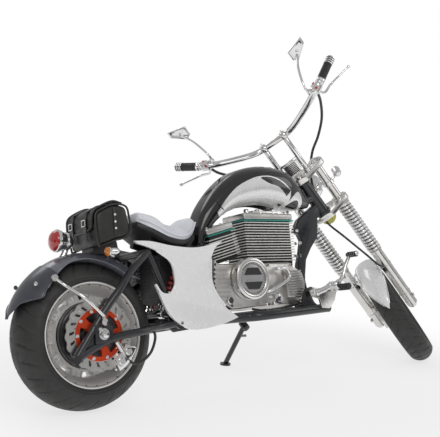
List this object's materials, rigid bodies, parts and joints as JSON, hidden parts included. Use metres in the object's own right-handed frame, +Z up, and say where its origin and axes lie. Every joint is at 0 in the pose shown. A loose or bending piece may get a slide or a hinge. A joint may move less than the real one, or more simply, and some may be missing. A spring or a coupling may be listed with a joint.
{
  "type": "electric chopper motorcycle",
  "caption": "Low two-wheeled motorcycle with a long raked fork, wide rear wheel with a hub motor, arched tank and tail bag, leaning on its side stand.",
  "frame": {"origin": "bottom centre of the bounding box, on the ground under the parked motorcycle", "axes": "+X towards the front wheel along the motorcycle, +Y to its left, +Z up; the motorcycle leans towards +Y"},
  "size_m": [2.2844, 0.7018, 1.4721],
  "materials": {
    "bag_leather": "grained",
    "bar_chrome": "polished",
    "bright_steel": "polished",
    "cable_black": "matte",
    "casing_chrome": "polished",
    "cast_silver": "satin",
    "control_dark": "satin",
    "dial_silver": "satin",
    "disc_steel": "brushed",
    "fender_dark": "metallic gloss",
    "fork_silver": "polished",
    "frame_grey": "metallic gloss",
    "grip_rubber": "matte",
    "horn_dark": "gloss",
    "lamp_chrome": "polished",
    "motor_black": "satin",
    "panel_silver": "pearl gloss",
    "rail_black": "satin",
    "seat_hide": "crinkled",
    "seat_shell": "matte",
    "spring_chrome": "polished",
    "spring_red": "gloss",
    "tank_dark": "metallic gloss",
    "tyre_rubber": "matte"
  },
  "bodies": {
    "root": {"main_frame": "frame_grey", "cradle_rails": "rail_black", "swingarm": "frame_grey", "rear_axle": "bright_steel", "rear_caliper": "bright_steel", "engine_case": "casing_chrome", "front_cylinder": "casing_chrome", "rear_cylinder": "casing_chrome", "engine_covers": "casing_chrome", "tank_shell": "tank_dark", "tank_panels": "panel_silver", "seat_cushion": "seat_hide", "seat_base": "seat_shell", "side_covers": "panel_silver", "rear_shocks": "spring_red", "rear_fender": "fender_dark", "fender_stays": "bright_steel", "tail_lamp": "lamp_chrome", "rear_signals": "lamp_chrome", "tail_bag": "bag_leather", "foot_controls": "control_dark", "stand_pin": "rail_black"},
    "rear_wheel": {"rear_tyre": "tyre_rubber", "rear_rim": "cast_silver", "hub_motor": "motor_black", "rear_disc": "disc_steel"},
    "front_wheel": {"front_tyre": "tyre_rubber", "front_rim": "cast_silver", "front_disc": "disc_steel"},
    "steering": {"steering_stem": "fork_silver", "upper_clamp": "fork_silver", "fork_legs": "fork_silver", "fork_springs": "spring_chrome", "handlebar": "bar_chrome", "grips": "grip_rubber", "bar_controls": "bar_chrome", "mirrors": "bar_chrome", "instrument_box": "dial_silver", "horn": "horn_dark", "head_lamp": "lamp_chrome", "front_signals": "lamp_chrome", "front_fender": "panel_silver", "front_caliper": "bright_steel", "control_cables": "cable_black"},
    "side_stand": {"side_stand": "rail_black"}
  },
  "joints": [
    {"name": "rear_wheel_spin", "type": "hinge", "parent": "root", "child": "rear_wheel", "pos_m": [-0.8472, -0.11587, 0.26048], "axis": [-0.002, 0.9716, -0.2367], "continuous": true},
    {"name": "steering_turn", "type": "hinge", "parent": "root", "child": "steering", "pos_m": [0.29825, 0.03139, 0.85551], "axis": [-0.6499, 0.1786, 0.7387], "range_deg": [-92, 0]},
    {"name": "front_wheel_spin", "type": "hinge", "parent": "steering", "child": "front_wheel", "pos_m": [0.90446, -0.06861, 0.22718], "axis": [-0.5481, 0.5632, -0.6184], "continuous": true},
    {"name": "side_stand_fold", "type": "hinge", "parent": "root", "child": "side_stand", "pos_m": [0.01836, 0.02632, 0.20321], "axis": [-0.0626, 0.868, 0.4925], "range_deg": [0, 88]}
  ]
}
